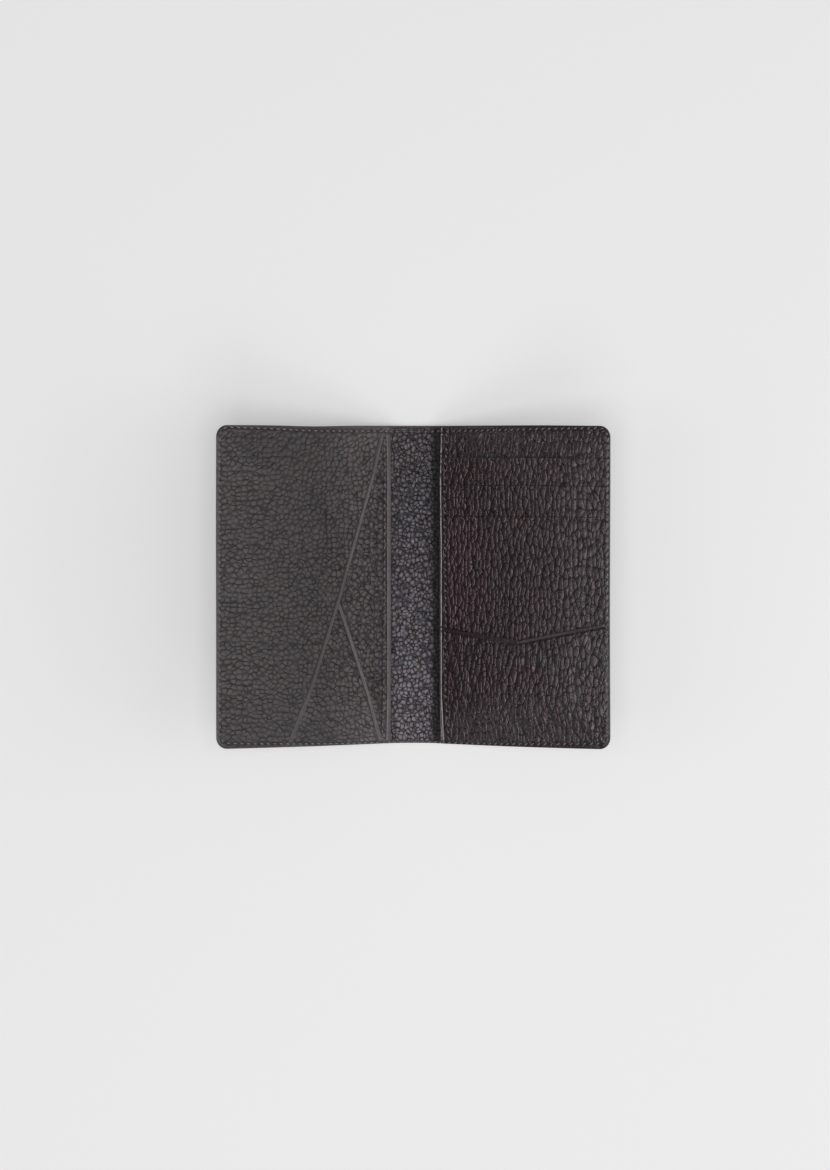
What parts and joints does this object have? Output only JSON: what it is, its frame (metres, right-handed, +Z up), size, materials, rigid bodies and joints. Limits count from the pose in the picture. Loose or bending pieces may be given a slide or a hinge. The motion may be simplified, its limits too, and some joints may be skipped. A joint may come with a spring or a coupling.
{
  "type": "passport holder wallet",
  "caption": "Open bifold leather passport wallet with a sleeve in each cover, slanted slip pockets on the left and stepped card slots over a V-mouthed pocket on the right.",
  "frame": {"origin": "bottom centre of the whole open wallet, on the surface that the spine rests on", "axes": "+X across the spread from the left cover to the right cover, +Y along the spine towards the top edge, +Z up out of the open wallet"},
  "size_m": [0.1708, 0.14, 0.0539],
  "materials": {
    "outer_leather": "satin pebbled dark brown-black leather",
    "pocket_leather": "satin pebbled dark brown-black leather",
    "lining_leather": "satin pebbled dark brown-black leather",
    "stiffener_board": "matt bonded-fibre board",
    "pocket_fabric": "matt woven lining",
    "thread": "waxed polyester thread"
  },
  "bodies": {
    "spine": {"spine_leather": "outer_leather", "spine_reinforcement": "stiffener_board", "spine_lining": "lining_leather", "spine_stitches": "thread", "left_fold_leather": "outer_leather", "left_fold_lining": "lining_leather", "right_fold_leather": "outer_leather", "right_fold_lining": "lining_leather"},
    "left_cover": {"left_cover_leather": "outer_leather", "left_stiffener": "stiffener_board", "left_lining": "lining_leather", "left_sleeve_hem": "pocket_leather", "left_sleeve_panel": "pocket_leather", "left_lower_pocket": "pocket_leather", "left_upper_pocket": "pocket_leather", "left_edge_stitches": "thread", "left_sleeve_stitches": "thread"},
    "right_cover": {"right_cover_leather": "outer_leather", "right_stiffener": "stiffener_board", "right_lining": "lining_leather", "right_sleeve_hem": "pocket_leather", "right_sleeve_panel": "pocket_leather", "card_slot_1": "pocket_leather", "card_slot_2": "pocket_leather", "card_slot_3": "pocket_leather", "card_slot_1_lining": "pocket_fabric", "card_slot_2_lining": "pocket_fabric", "right_lower_pocket": "pocket_leather", "right_edge_stitches": "thread", "right_sleeve_stitches": "thread"}
  },
  "joints": [
    {"name": "left_cover_fold", "type": "hinge", "parent": "spine", "child": "left_cover", "pos_m": [-0.0072, 0, 0.0021], "axis": [0, 1, 0], "range_deg": [-31, 59], "deforming": ["left_fold_leather", "left_fold_lining"]},
    {"name": "right_cover_fold", "type": "hinge", "parent": "spine", "child": "right_cover", "pos_m": [0.0088, 0, 0.0021], "axis": [0, -1, 0], "range_deg": [-33, 57], "deforming": ["right_fold_leather", "right_fold_lining"]}
  ]
}
